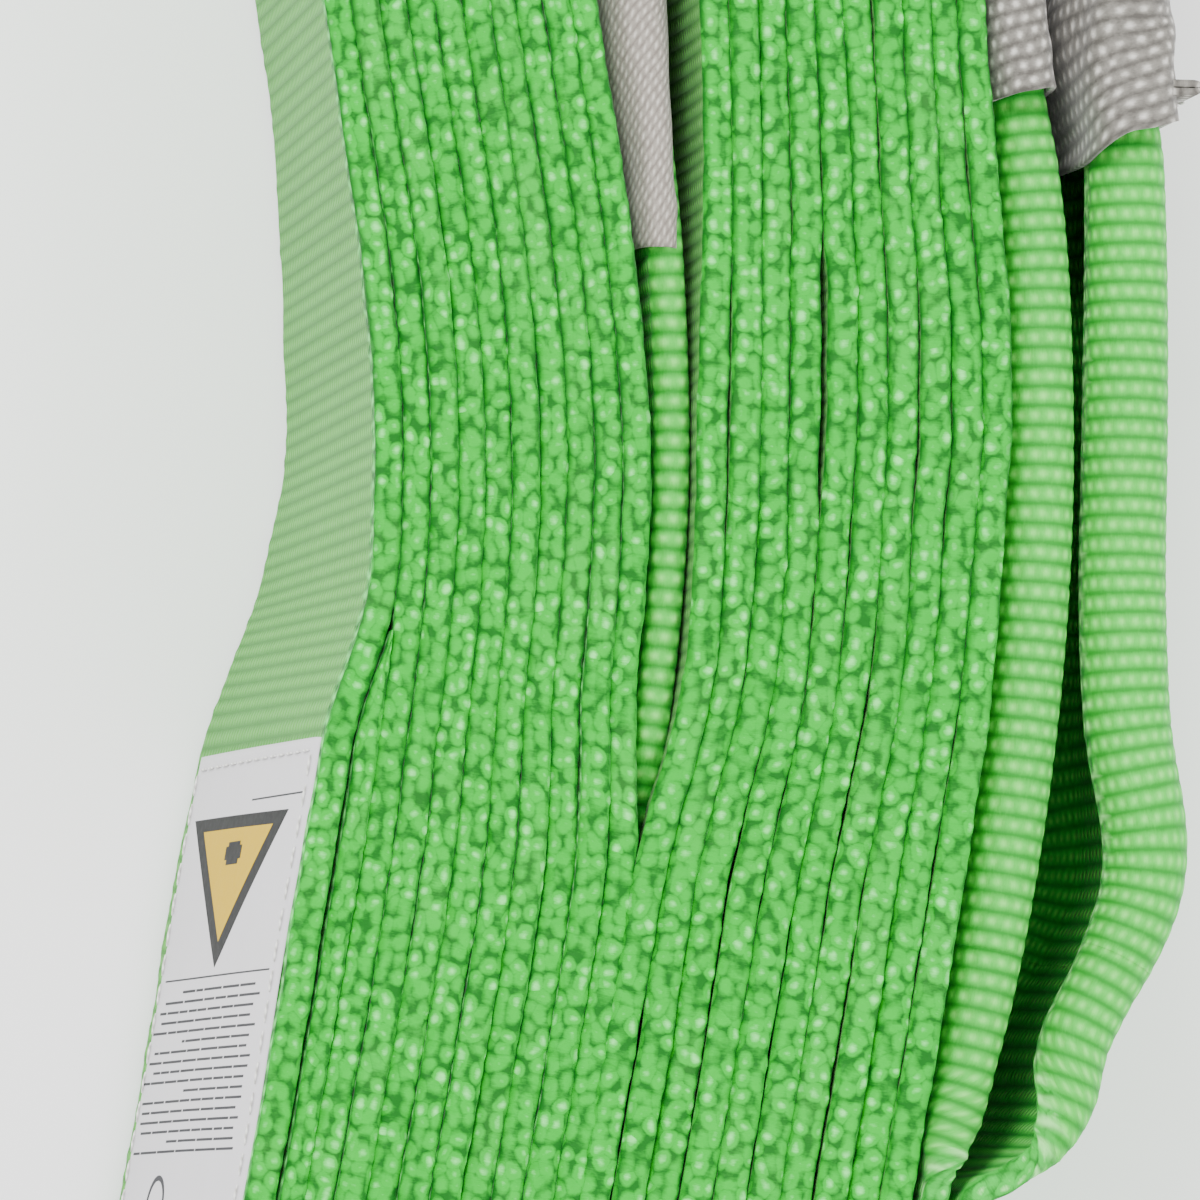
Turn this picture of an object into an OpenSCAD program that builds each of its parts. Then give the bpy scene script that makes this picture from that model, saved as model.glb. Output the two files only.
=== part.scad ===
// Flat web sling: two plies of polyester webbing with an eye at each end, rolled up
// flat for storage. The roll stands on the edges of its webbing, so the width of the
// webbing is its height. Laps lie side by side along X and run along Y. The sling
// starts with the inner eye in the middle of the roll, winds outwards, and ends with
// the outer eye, which lies along the right side. The whole roll is slightly bowed.

/* [Webbing] */
// Width of the webbing, which is the height of the roll
web_w = 60; // [50:1:75]
// Thickness of one ply
ply_t = 3.1; // [2.8:0.05:3.15]
// Space between the plies of one lap
ply_gap = 0.15; // [0.1:0.05:0.2]

/* [Roll] */
// Laps on each side of the inner eye
laps = 5; // [4:1:6]
// Pitch of the laps on the label side
left_pitch = 6.6; // [6.5:0.1:7]
// Pitch of the laps on the side of the outer eye
right_pitch = 7.6; // [7.5:0.1:8]
// Where the turns at the low end begin
low_y = -120; // [-140:5:-120]
// Where the turns at the high end begin
high_y = 150; // [150:5:170]
// Steepest sideways slope of the bow towards the low end
bow_slope = 0.2; // [0:0.01:0.24]
// Steepest sideways slope of the bow towards the high end
bow_slope_high = 0.133; // [0:0.001:0.2]
// Length along the roll over which the bow turns
bow_reach = 45; // [40:5:80]
// Place of the bow's crown along the roll
bow_y = 20; // [0:5:40]

/* [Inner eye] */
// Where the inner eye's legs leave the sewn body
inner_root_y = -95; // [-98:1:-90]
// Centre of the bend at the inner eye's tip
inner_tip_y = 141; // [130:1:142]
// Where the inner eye's wear sleeve begins
inner_sleeve_y = 43; // [40:1:60]
// Thickness of one flat leg
flat_leg_t = 2.3; // [2:0.1:2.3]
// Thickness of one leg where it is folded inside its sleeve
folded_leg_t = 4.6; // [4:0.1:4.6]

/* [Outer eye] */
// Where the outer eye's legs leave the sewn body
outer_root_y = -71; // [-80:1:-65]
// Height of the folded legs, from edge to edge
fold_h = 42; // [36:1:46]
// Wall of the wear sleeve
sleeve_t = 1; // [0.8:0.1:1.1]

/* [Splice and label] */
// Where the sewn-in end of the webbing begins
splice_start_y = -18.5; // [-30:0.5:-15]
// Where the sewn-in end of the webbing stops
splice_end_y = -97; // [-98:1:-90]
// Length of the label along the webbing
label_len = 79; // [60:1:79]
// Distance from the label to the edge of the webbing
label_edge = 2.5; // [2:0.5:8]
// Thickness of the label
label_t = 0.6; // [0.4:0.1:1]

/* [Hidden] */

web_green = [0.30, 0.66, 0.34];
eye_green = [0.50, 0.74, 0.42];
sleeve_grey = [0.66, 0.65, 0.61];
label_white = [0.86, 0.86, 0.87];
thread_green = [0.45, 0.78, 0.46];
thread_white = [0.92, 0.92, 0.90];

lap_steps = 18;
label_side_steps = 54;
root_steps = 2;
tail_steps = 4;
turn_steps = 12;
cap_steps = 10;
spline_steps = 4;
leg_steps = 30;
label_steps = 20;

half_lap = ply_t + ply_gap / 2;
hinge_clear = 0.35;
slack = 0.25;

// ---- Shape of the roll ------------------------------------------------------

// Eases from 0 at a to 1 at b, whichever is the larger.
function ease(a, b, v) = let (u = max(0, min(1, (v - a) / (b - a)))) u * u * (3 - 2 * u);

// Sideways shift of the bowed roll.
function bow(y) = -(y > bow_y ? bow_slope_high : bow_slope)
                  * (sqrt(pow(bow_reach, 2) + pow(y - bow_y, 2)) - bow_reach);

// Half of the room that the laps leave for the inner eye. It opens for the folded
// legs in their sleeve at the high end, and for the sewn body at the low end.
eye_room = flat_leg_t + 0.2;
sleeve_room = folded_leg_t + 2.15;
body_room = half_lap + 0.7;
function core(y) = eye_room + (sleeve_room - eye_room) * ease(10, 95, y)
                 + (body_room - eye_room) * ease(inner_root_y + 25, inner_root_y + 1, y);

// The laps are a little looser at the low end on the left, and squeezed together by
// the sleeve at the high end on the right.
function left_x(k, y) = -core(y) - (k - 0.5) * (left_pitch + 0.3 * ease(0, -40, y));
function right_x(k, y) = core(y) + (k - 0.5) * (right_pitch - 0.55 * ease(20, 75, y));

// How far the sewn-in end of the webbing pushes the outermost ply outwards.
function bulge(y) = (ply_t + ply_gap) * (ease(splice_start_y + 22, splice_start_y, y)
                                         - ease(splice_end_y - 1, splice_end_y - 18, y));

function spread(from, to, n) = [for (i = [0:n]) from + (to - from) * i / n];

function right_lap(k, y0, y1, n) = [for (y = spread(y0, y1, n)) [right_x(k, y), y]];
function left_lap(k, y0, y1, n) = [for (y = spread(y0, y1, n)) [left_x(k, y), y]];

// Points of a turn between two laps, without its two ends.
function turn(x0, x1, y, from) = [for (i = [1:turn_steps - 1])
    let (a = from + 180 * i / turn_steps)
    [(x0 + x1) / 2 + abs(x1 - x0) / 2 * cos(a), y + abs(x1 - x0) / 2 * sin(a)]];
function low_turn(k) = turn(k == 0 ? 0 : left_x(k, low_y), right_x(k + 1, low_y), low_y, 180);
function high_turn(k) = turn(left_x(k, high_y), right_x(k, high_y), high_y, 0);

// Middle line of the sewn body, from the inner eye's root to the tail.
roll_line = concat(
    [for (y = spread(inner_root_y, low_y, root_steps)) [0, y]],
    [for (k = [1:laps]) each concat(
        low_turn(k - 1),
        right_lap(k, low_y, high_y, lap_steps),
        high_turn(k),
        k < laps ? left_lap(k, high_y, low_y, lap_steps)
                 : left_lap(k, high_y, low_y + half_lap + hinge_clear, label_side_steps))]);
label_side_from = len(roll_line) - label_side_steps - 1;

// Middle line of the tail, from its hinge round the low end to the outer eye's root.
tail_line = concat(
    [[left_x(laps, low_y), low_y]],
    low_turn(laps),
    right_lap(laps + 1, low_y, outer_root_y - half_lap - hinge_clear, tail_steps));

// Unit vectors that point out of the roll, one for each point of a line.
function outward(line) = [for (i = [0:len(line) - 1])
    let (d = line[min(i + 1, len(line) - 1)] - line[max(i - 1, 0)]) [d.y, -d.x] / norm(d)];

// A line shifted outwards. The shift is one number, or a list with one for each point.
function shifted(line, by) = let (n = outward(line))
    [for (i = [0:len(line) - 1]) line[i] + n[i] * (is_list(by) ? by[i] : by)];

function bowed(line) = [for (p = line) [p.x + bow(p.y), p.y]];
function reversed(line) = [for (i = [len(line) - 1:-1:0]) line[i]];

// Outline of a strip between two shifts of one line.
function strip(line, from, to) = bowed(concat(shifted(line, from), reversed(shifted(line, to))));

// Shift of the outermost ply at each point of the roll's middle line.
roll_bulge = [for (i = [0:len(roll_line) - 1]) i < label_side_from ? 0 : bulge(roll_line[i].y)];

outer_ply_outline = strip(roll_line, [for (b = roll_bulge) b + ply_gap / 2],
                                     [for (b = roll_bulge) b + half_lap]);
inner_ply_outline = strip(roll_line, -ply_gap / 2, -half_lap);

splice_line = left_lap(laps, splice_start_y, splice_end_y, label_steps);

label_y = splice_start_y + 1.5;
label_line = left_lap(laps, label_y, label_y - label_len, label_steps);
label_lift = half_lap + 0.05;
label_shift = [for (p = label_line) bulge(p.y) + label_lift];
label_outline = strip(label_line, label_shift, [for (s = label_shift) s + label_t]);

// ---- Hinges -----------------------------------------------------------------

tail_hinge = bowed([[left_x(laps, low_y), low_y]])[0];
eye_hinge = bowed([[right_x(laps + 1, outer_root_y), outer_root_y]])[0];

// Outline of a round cap about a hinge, between two angles, with a flat foot that
// reaches into the strip it closes.
cap_foot = 0.8;
function cap(at, a0, a1, foot, x_min, x_max) = concat(
    [for (a = spread(a0, a1, cap_steps)) at + [max(x_min, min(x_max, half_lap * cos(a))),
                                               half_lap * sin(a)]],
    [at + [max(x_min, min(x_max, half_lap * cos(a1))), foot],
     at + [max(x_min, min(x_max, half_lap * cos(a0))), foot]]);

// ---- Outer eye --------------------------------------------------------------

// Middle line of the folded webbing of the outer eye, as [x, y, thickness] from its
// root: up the leg beside the roll, round the tip, and down the outer leg.
eye_route = [[-1.6, 0, 3.1], [-0.5, 12, 5.4], [0.4, 26, 6.8], [0.9, 50, 7.6], [0.9, 90, 7.6],
             [1.2, 115, 7.0], [1.8, 131, 6.3], [2.0, 158, 6.0], [2.3, 182, 6.0],
             [2.8, 195, 6.0], [3.8, 207, 6.0], [6.8, 217.5, 6.0], [14.3, 223, 6.0],
             [21.6, 217.5, 6.0], [24.4, 207, 6.0], [24.2, 195, 6.0], [22.5, 180, 6.0],
             [17.0, 160, 6.0], [12.4, 144, 6.0], [12.9, 131, 6.3], [12.0, 115, 7.0],
             [11.0, 95, 7.6], [11.0, 76, 7.8], [13.0, 59, 8.4], [16.0, 40, 8.6],
             [13.4, 21, 6.0], [7.8, 8.5, 4.0], [1.6, 0, 3.1]];
sleeve_from = 6;
sleeve_to = 19;
sleeve_clear = 0.2;

// A Catmull-Rom curve through the points of a route.
function between(a, b, c, d, u) = 0.5 * (2 * b + (c - a) * u
    + (2 * a - 5 * b + 4 * c - d) * u * u + (3 * b - a - 3 * c + d) * u * u * u);
function curve(pts) = concat(
    [for (i = [0:len(pts) - 2], s = [0:spline_steps - 1])
        between(pts[max(i - 1, 0)], pts[i], pts[i + 1], pts[min(i + 2, len(pts) - 1)],
                s / spline_steps)],
    [pts[len(pts) - 1]]);

eye_base = [right_x(laps + 1, outer_root_y), outer_root_y, 0];
eye_curve = [for (p = curve(eye_route)) p + eye_base];
function part_of(list, i0, i1) = [for (i = [i0:i1]) list[i]];

// Outline of the folded eye webbing with extra thickness on both faces.
function eye_strip(i0, i1, extra) = let (c = part_of(eye_curve, i0, i1),
                                         line = [for (p = c) [p.x, p.y]])
    strip(line, [for (p = c) p[2] / 2 + extra], [for (p = c) -p[2] / 2 - extra]);

eye_outline = eye_strip(0, len(eye_curve) - 1, 0);
sleeve_i0 = sleeve_from * spline_steps;
sleeve_i1 = sleeve_to * spline_steps;
sleeve_outline = eye_strip(sleeve_i0, sleeve_i1, sleeve_clear + sleeve_t);
sleeve_hollow = eye_strip(sleeve_i0 - 1, sleeve_i1 + 1, sleeve_clear);
fold_low = (web_w - fold_h) / 2 + 1;
fold_high = fold_low + fold_h;
fold_lead = 8;
fold_run = 60;

// ---- Inner eye --------------------------------------------------------------

leg_foot_y = inner_root_y + 0.05;
function leg_t(y) = flat_leg_t + (folded_leg_t - flat_leg_t) * ease(45, 95, y);
inner_legs = concat(
    [for (y = spread(leg_foot_y, inner_tip_y, leg_steps)) [core(y) / 2, y, leg_t(y)]],
    [for (i = [1:turn_steps - 1]) let (a = 180 * i / turn_steps)
        [sleeve_room / 2 * cos(a), inner_tip_y + sleeve_room / 2 * sin(a), folded_leg_t]],
    [for (y = spread(inner_tip_y, leg_foot_y, leg_steps)) [-core(y) / 2, y, leg_t(y)]]);
thin_sleeve_t = 0.4;
thin_clear = 0.06;
inner_fold_from = 15;
inner_fold_to = 80;
inner_fold_low = 8;
inner_fold_high = web_w - 6;
inner_end_clear = 0.2;
inner_end_t = 1;
inner_end_solid = 0.6;
covered_legs = [for (p = inner_legs) if (p.y > inner_sleeve_y) p];
nearly_covered = [for (p = inner_legs) if (p.y > inner_sleeve_y - 10) p];
function leg_strip(legs, extra) = strip([for (p = legs) [p.x, p.y]],
    [for (p = legs) p[2] / 2 + extra], [for (p = legs) -p[2] / 2 - extra]);

// A corner of the sleeve's hem that stands out at the far leg.
tab_w = 6;
tab_l = 1.6;
tab_h = 9;
tab_gap = 0.3;
far_hem = eye_strip(sleeve_i1 - 1, sleeve_i1, sleeve_clear + sleeve_t);
tab_at = (far_hem[0].x > far_hem[2].x ? far_hem[0] : far_hem[2]) + [tab_gap, 0];
tab_outline = [for (c = [[0, -1], [1, -1], [1, 1], [0, 1]]) tab_at + [c.x * tab_w, c.y * tab_l / 2]];

// ---- Seams ------------------------------------------------------------------

thread_r = 0.3;
seam_rows = [12, 24, 36, 48];
seam_pitch = 6;
seam_stitch = 4;

// Stitches round the low end, below the outer eye, each as its two ends.
turn_x = (left_x(laps, low_y) + right_x(laps + 1, low_y)) / 2;
turn_r = (right_x(laps + 1, low_y) - left_x(laps, low_y)) / 2 + half_lap + thread_r + 0.08;
turn_seam_from = 232;
turn_seam_count = 15;
function degrees(arc) = arc / turn_r * 180 / PI;
function on_turn(a) = bowed([[turn_x, low_y] + turn_r * [cos(a), sin(a)]])[0];
turn_seam = [for (i = [0:turn_seam_count - 1]) let (a = turn_seam_from + i * degrees(seam_pitch))
    [on_turn(a), on_turn(a + degrees(seam_stitch))]];

// Outline of a stitch, seen from above.
function thread_outline(s) = let (d = s[1] - s[0], n = thread_r * [d.y, -d.x] / norm(d))
    [s[0] + n, s[1] + n, s[1] - n, s[0] - n];

// ---- Middle of the whole sling, which becomes the origin --------------------

label_thread_lift = label_t + 2 * thread_r + 0.02;
sewn_label = strip(label_line, label_shift, [for (s = label_shift) s + label_thread_lift]);
tail_outline = strip(tail_line, 0, half_lap);
extent = concat(outer_ply_outline, tail_outline, sleeve_outline, eye_outline, sewn_label,
                tab_outline, [for (s = turn_seam) each thread_outline(s)]);
x_all = [for (p = extent) p.x];
y_all = [for (p = extent) p.y];
middle = [(min(x_all) + max(x_all)) / 2, (min(y_all) + max(y_all)) / 2];

module upright(outline, z0 = 0, z1 = web_w)
    translate([-middle.x, -middle.y, z0]) linear_extrude(z1 - z0) polygon(outline);

// Side view of an eye: full width up to one point, and narrower from another one on,
// where the webbing is folded.
far = 300;
module folded_profile(full_y, fold_y, z0, z1)
    translate([-far, -middle.y, 0]) rotate([90, 0, 90]) linear_extrude(2 * far)
        polygon([[-far, 0], [full_y, 0], [fold_y, z0], [far, z0],
                 [far, z1], [fold_y, z1], [full_y, web_w], [-far, web_w]]);
module inner_profile(extra)
    folded_profile(inner_fold_from + fold_lead, inner_fold_to,
                   inner_fold_low - extra, inner_fold_high + extra);

// A straight stitch between two points in plan, at one height.
module stitch(a, b, z)
    translate([a.x - middle.x, a.y - middle.y, z])
        rotate([0, 90, atan2(b.y - a.y, b.x - a.x)])
            cylinder(h = norm(b - a), r = thread_r, $fn = 16);

// A stitch across the webbing.
module cross_stitch(at, z, len)
    translate([at.x - middle.x, at.y - middle.y, z]) cylinder(h = len, r = thread_r, $fn = 16);

// ---- Rolled body ------------------------------------------------------------

module outer_ply() color(web_green) upright(outer_ply_outline);

module inner_ply() color(web_green) upright(inner_ply_outline);

module splice_end() color(web_green) upright(strip(splice_line, ply_gap / 2, half_lap));

module inner_eye_webbing()
    color(eye_green) intersection() {
        upright(leg_strip(inner_legs, 0));
        inner_profile(0);
    }

module inner_eye_sleeve()
    color(sleeve_grey) difference() {
        intersection() {
            upright(leg_strip(covered_legs, thin_clear + thin_sleeve_t));
            inner_profile(inner_end_t);
        }
        intersection() {
            upright(leg_strip(nearly_covered, thin_clear), inner_end_solid, web_w - inner_end_solid);
            inner_profile(inner_end_clear);
        }
    }

// Rows of stitches through the sewn body below the inner eye.
seam_x = -half_lap - thread_r - 0.05;
module inner_eye_seam()
    color(thread_green)
        for (z = seam_rows, y = [inner_root_y - seam_pitch:-seam_pitch:low_y + seam_stitch]) {
            line = bowed([[seam_x, y], [seam_x, y + seam_stitch]]);
            stitch(line[0], line[1], z);
        }

// ---- Label ------------------------------------------------------------------

module label() color(label_white) upright(label_outline, label_edge, web_w - label_edge);

// A row of stitches along each edge of the label, and one across each of its ends.
label_stitch = 2.6;
label_stitch_pitch = 4;
stitch_inset = 2;
label_top = label_y - stitch_inset;
label_foot = label_y - label_len + stitch_inset;
label_z0 = label_edge + stitch_inset;
label_z1 = web_w - label_edge - stitch_inset;
function over_label(ys) = bowed(shifted([for (y = ys) [left_x(laps, y), y]],
    [for (y = ys) bulge(y) + label_lift + label_t + thread_r + 0.02]));
module label_stitching()
    color(thread_white) {
        for (y = [label_top - label_stitch:-label_stitch_pitch:label_foot], z = [label_z0, label_z1]) {
            line = over_label([y + label_stitch, y]);
            stitch(line[0], line[1], z);
        }
        for (y = [label_top, label_foot] + stitch_inset / 2 * [1, -1],
             z = [label_z0 + 1:label_stitch_pitch:label_z1 - label_stitch]) {
            line = over_label([y + 1, y]);
            cross_stitch(line[1], z, label_stitch);
        }
    }

// ---- Tail -------------------------------------------------------------------

module tail_outer_ply()
    color(web_green) union() {
        upright(strip(tail_line, ply_gap / 2, half_lap));
        upright(cap(tail_hinge, 180, 90, -cap_foot, -half_lap, -ply_gap / 2));
    }

module tail_inner_ply()
    color(web_green) union() {
        upright(strip(tail_line, -ply_gap / 2, -half_lap));
        upright(cap(tail_hinge, 90, 0, -cap_foot, ply_gap / 2, half_lap));
    }

// Rows of stitches through the sewn body below the outer eye.
module outer_eye_seam()
    color(thread_green)
        for (z = seam_rows, s = turn_seam) stitch(s[0], s[1], z);

// ---- Outer eye --------------------------------------------------------------

module outer_eye_webbing()
    color(eye_green) union() {
        intersection() {
            upright(eye_outline);
            folded_profile(outer_root_y + fold_lead, outer_root_y + fold_run, fold_low, fold_high);
        }
        upright(cap(eye_hinge, 180, 360, cap_foot, -half_lap, half_lap));
    }

module outer_eye_sleeve()
    color(sleeve_grey) difference() {
        upright(sleeve_outline, fold_low - sleeve_t - sleeve_clear, fold_high + sleeve_t + sleeve_clear);
        upright(sleeve_hollow, fold_low - sleeve_clear, fold_high + sleeve_clear);
    }

// Rows of stitches round the two hems of the sleeve, on the faces that can be seen.
hem_inset = 1;
hem_lift = sleeve_clear + sleeve_t + thread_r + 0.03;
module sleeve_hem_stitching()
    color(thread_white) {
        near_leg = eye_strip(sleeve_i0 + hem_inset - 1, sleeve_i0 + hem_inset + 1, hem_lift);
        far_leg = eye_strip(sleeve_i1 - hem_inset - 1, sleeve_i1 - hem_inset + 1, hem_lift);
        for (at = [near_leg[4], far_leg[1], far_leg[4]],
             z = [fold_low + 1:seam_pitch:fold_high - seam_stitch])
            cross_stitch(at, z, seam_stitch);
    }

module sleeve_hem_tab()
    color(sleeve_grey) upright(tab_outline, fold_high - tab_h, fold_high);

outer_ply();
inner_ply();
splice_end();
inner_eye_webbing();
inner_eye_sleeve();
inner_eye_seam();
label();
label_stitching();
tail_outer_ply();
tail_inner_ply();
outer_eye_seam();
outer_eye_webbing();
outer_eye_sleeve();
sleeve_hem_stitching();
sleeve_hem_tab();
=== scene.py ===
import math

import bpy
import numpy as np
from mathutils import Matrix, Vector
from mathutils.geometry import tessellate_polygon


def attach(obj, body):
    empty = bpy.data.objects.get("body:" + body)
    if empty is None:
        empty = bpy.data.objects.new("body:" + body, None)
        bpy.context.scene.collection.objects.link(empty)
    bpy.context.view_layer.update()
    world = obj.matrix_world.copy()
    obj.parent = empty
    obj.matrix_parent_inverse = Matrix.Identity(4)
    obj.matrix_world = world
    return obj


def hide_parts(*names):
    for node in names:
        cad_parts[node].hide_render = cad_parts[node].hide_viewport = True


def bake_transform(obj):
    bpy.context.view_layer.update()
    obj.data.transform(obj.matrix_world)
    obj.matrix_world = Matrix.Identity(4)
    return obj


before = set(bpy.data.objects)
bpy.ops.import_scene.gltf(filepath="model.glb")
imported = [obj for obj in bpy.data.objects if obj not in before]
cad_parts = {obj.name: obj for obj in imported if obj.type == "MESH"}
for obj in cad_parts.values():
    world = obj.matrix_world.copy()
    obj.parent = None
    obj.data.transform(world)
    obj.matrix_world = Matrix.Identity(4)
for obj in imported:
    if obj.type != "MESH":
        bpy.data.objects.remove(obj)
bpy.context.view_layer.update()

# ---------------------------------------------------------------------------
# Camera: a long lens, nearly straight down on the roll's edges, a little from
# the left and the near end, with +Y up.
# ---------------------------------------------------------------------------
TARGET = Vector((-0.0122, -0.0133, 0.060))
BACK = Vector((-0.21, -0.085, 1.0)).normalized()
DISTANCE = 1.3
SEEN_WIDTH = 0.1420

camera = bpy.data.objects.new("camera", bpy.data.cameras.new("camera"))
bpy.context.scene.collection.objects.link(camera)
side = Vector((0, 1, 0)).cross(BACK).normalized()
up = BACK.cross(side)
turn_matrix = Matrix((side, up, BACK)).transposed().to_4x4()
camera.matrix_world = Matrix.Translation(TARGET + BACK * DISTANCE) @ turn_matrix
camera.data.sensor_width = 36.0
camera.data.lens = 36.0 * DISTANCE / SEEN_WIDTH
camera.data.clip_end = 20.0
bpy.context.scene.camera = camera

# ---------------------------------------------------------------------------
# The roll's plan, in millimetres, as in part.scad: X across the stack, Y along
# the laps, Z up the width of the webbing.
# ---------------------------------------------------------------------------
MM = 0.001
MIDDLE = np.array([3.3171, 13.2463])
WEB = 60.0
WOVEN = WEB - 1.2    # the webbing's width without the loops on its two selvedges
PLY = 3.1
GAP = 0.15
LAPS = 5
LAST_LEFT = LAPS + 0.2   # the last lap on the left, in the numbers that lap_no holds
LOW, HIGH = -120.0, 150.0
CROWN, CROWN_ROUND = 20.0, 45.0      # the bow's crown, and how round it is
SLOPE_HIGH, SLOPE_LOW = 0.133, 0.2   # the bow's slopes past it
CORE = 2.5
HALF = PLY + GAP / 2
ROOT_IN, ROOT_OUT = -95.0, -71.0
SLEEVE_IN = 43.0
LEAN = 5.0           # how far the last lap's low edge leans out
PICK = 1.90          # one rib across the rolled webbing's face
EYE_PICK = 2.35      # one rib across the eyes' face
LOOP = 1.30          # from one weft loop to the next over a selvedge
STEP = 0.53          # ring spacing
SLEEVE_STEP = 0.8


def ease(a, b, v):
    u = np.clip((np.asarray(v, float) - a) / (b - a), 0, 1)
    return u * u * (3 - 2 * u)


def bow(y):
    y = np.asarray(y, float)
    slope = np.where(y > CROWN, SLOPE_HIGH, SLOPE_LOW)
    return -slope * (np.sqrt(CROWN_ROUND ** 2 + (y - CROWN) ** 2) - CROWN_ROUND)


def core(y):
    return (CORE + 4.25 * ease(10, 95, y)
            + (HALF + 0.7 - CORE) * ease(ROOT_IN + 25, ROOT_IN + 1, y))


def left_pitch(y):
    return 6.6 + 0.3 * ease(0, -40, y)


def right_pitch(y):
    return 7.6 - 0.55 * ease(20, 75, y)


def left_x(k, y):
    return -core(y) - (k - 0.5) * left_pitch(y)


def right_x(k, y):
    return core(y) + (k - 0.5) * right_pitch(y)


def bulge(y):
    """How far the last lap's outer ply stands off over the splice."""
    return (PLY + GAP) * (ease(3.5, -18.5, y) - ease(-98, -115, y))


def low_lean(y):
    """How far the last lap's low edge leans out."""
    return LEAN * (ease(28, -8, y) - ease(-85, -115, y))


def closing(y, ply):
    """Shift of a ply's top edge towards the inner eye, below the place where its strip
    goes under; ply counts laps from the middle."""
    return (-2.65 * ease(-6, -36, y) * ease(-110, -80, y)
            * np.clip(1 - ply / (LAPS + 0.6), 0, 1))


def top_share(share):
    """How much of its top edge's shift a point has, share of the way up the webbing."""
    return np.clip(2 * share - 0.9, 0, None) ** 1.5


def lap(side_x, k, y0, y1):
    y = np.linspace(y0, y1, int(abs(y1 - y0) / 0.5) + 2)
    return np.stack([side_x(k, y), y], 1)


def turn(x0, x1, y, start):
    r = abs(x1 - x0) / 2
    a = np.radians(np.linspace(start, start + 180, int(math.pi * r / 0.3) + 12))[1:-1]
    return np.stack([(x0 + x1) / 2 + r * np.cos(a), y + r * np.sin(a)], 1)


def low_turn(k):
    return turn(0.0 if k == 0 else float(left_x(k, LOW)), float(right_x(k + 1, LOW)), LOW, 180)


def high_turn(k):
    return turn(float(left_x(k, HIGH)), float(right_x(k, HIGH)), HIGH, 0)


def forward(line):
    d = np.gradient(line, axis=0)
    return d / np.linalg.norm(d, axis=1)[:, None]


def outward(line):
    d = forward(line)
    return np.stack([d[:, 1], -d[:, 0]], 1)


def bowed(line):
    return np.stack([line[:, 0] + bow(line[:, 1]), line[:, 1]], 1)


def length_along(line):
    return np.concatenate([[0], np.cumsum(np.linalg.norm(np.diff(line, axis=0), axis=1))])


def resampled(line, extra, step=STEP):
    """line at even steps along its length, with the columns of extra carried along."""
    s = length_along(line)
    t = np.linspace(0, s[-1], int(round(s[-1] / step)) + 1)
    both = np.column_stack([line] + list(extra))
    out = np.stack([np.interp(t, s, column) for column in both.T], 1)
    return out[:, :2], [out[:, 2 + i] for i in range(len(extra))], t


def smoothed(line, rounds):
    for _ in range(rounds):
        line[1:-1] = line[1:-1] * 0.5 + 0.25 * (line[2:] + line[:-2])
    return line


def wander(x, period, seed):
    """Smooth noise of about unit height along x."""
    r = np.random.default_rng(seed)
    out = np.zeros_like(np.asarray(x, float))
    for _ in range(5):
        f = 2 * math.pi / (period * r.uniform(0.6, 1.9))
        out = out + r.uniform(0.4, 1.0) * np.sin(f * x + r.uniform(0, 7))
    return out / 2.0


# The middle line of the roll from the sewn body behind the inner eye to the foot
# of the outer eye, with the number of the lap that each point is on.
parts = [(lap(lambda k, y: 0 * y, 0, ROOT_IN, LOW), 0.0)]
for k in range(1, LAPS + 1):
    parts += [(low_turn(k - 1), k - 0.5), (lap(right_x, k, LOW, HIGH), k),
              (high_turn(k), k + 0.0), (lap(left_x, k, HIGH, LOW), k + 0.2)]
parts += [(low_turn(LAPS), LAPS + 0.5), (lap(right_x, LAPS + 1, LOW, ROOT_OUT), LAPS + 1)]
middle = np.concatenate([p for p, _ in parts])
lap_no = np.concatenate([np.full(len(p), float(v)) for p, v in parts])
keep = np.concatenate([[True], np.linalg.norm(np.diff(middle, axis=0), axis=1) > 1e-6])
middle, lap_no = middle[keep], lap_no[keep]
middle_y = middle[:, 1]
normal = outward(middle)
on_right = ease(-6, 6, middle[:, 0])
on_left = (np.abs(lap_no - np.floor(lap_no) - 0.2) < 0.01).astype(float)
on_last_left = (np.abs(lap_no - LAST_LEFT) < 0.01).astype(float)
straight = on_left + (np.abs(lap_no - np.round(lap_no)) < 0.01) * (lap_no > 0.9)
# The laps on the left stand a little steeper above the crown of the bow.
lean_out = low_lean(middle_y) * on_last_left \
    - 3.0 * ease(25, 70, middle_y) * ease(148, 120, middle_y) * on_left * np.floor(lap_no) / LAPS
# A slit stays open between two laps on the right, a little above the middle.
slit = 0.45 * ease(8, 20, middle_y) * ease(48, 36, middle_y) * (middle[:, 0] > 0)
slit_shift = slit * ((lap_no > 2.5).astype(float) - (np.abs(lap_no - 2) < 0.01) * 0.8)
# The laps on the right stand a little off the inner eye.
slit_shift = slit_shift + 0.6 * on_right * ease(0.3, 0.9, lap_no)


def ply_line(sign, seed):
    """One ply's own middle line at even steps, and what varies along it."""
    half_pitch = (left_pitch(middle_y)
                  + (right_pitch(middle_y) - left_pitch(middle_y)) * on_right) / 4
    stand_off = bulge(middle_y) * on_last_left if sign > 0 else 0
    along = length_along(middle)
    wob = 0.12 * wander(along, 60, 3 if sign > 0 else 4) \
        + 0.07 * wander(along, 11, 5 if sign > 0 else 6)
    shift = half_pitch * sign + stand_off + slit_shift + wob
    lean = lean_out if sign > 0 else lean_out * (1 - on_last_left * ease(28, -8, middle_y))
    close = straight * closing(middle_y, np.floor(lap_no) - 1 + (0.5 if sign > 0 else 0))
    line, (half_pitch, lean, no, close), s = resampled(
        bowed(middle + normal * shift[:, None]), [half_pitch, lean, lap_no, close])
    return dict(line=line, s=s, half_pitch=half_pitch, lean=lean, no=no, close=close, seed=seed)


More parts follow.
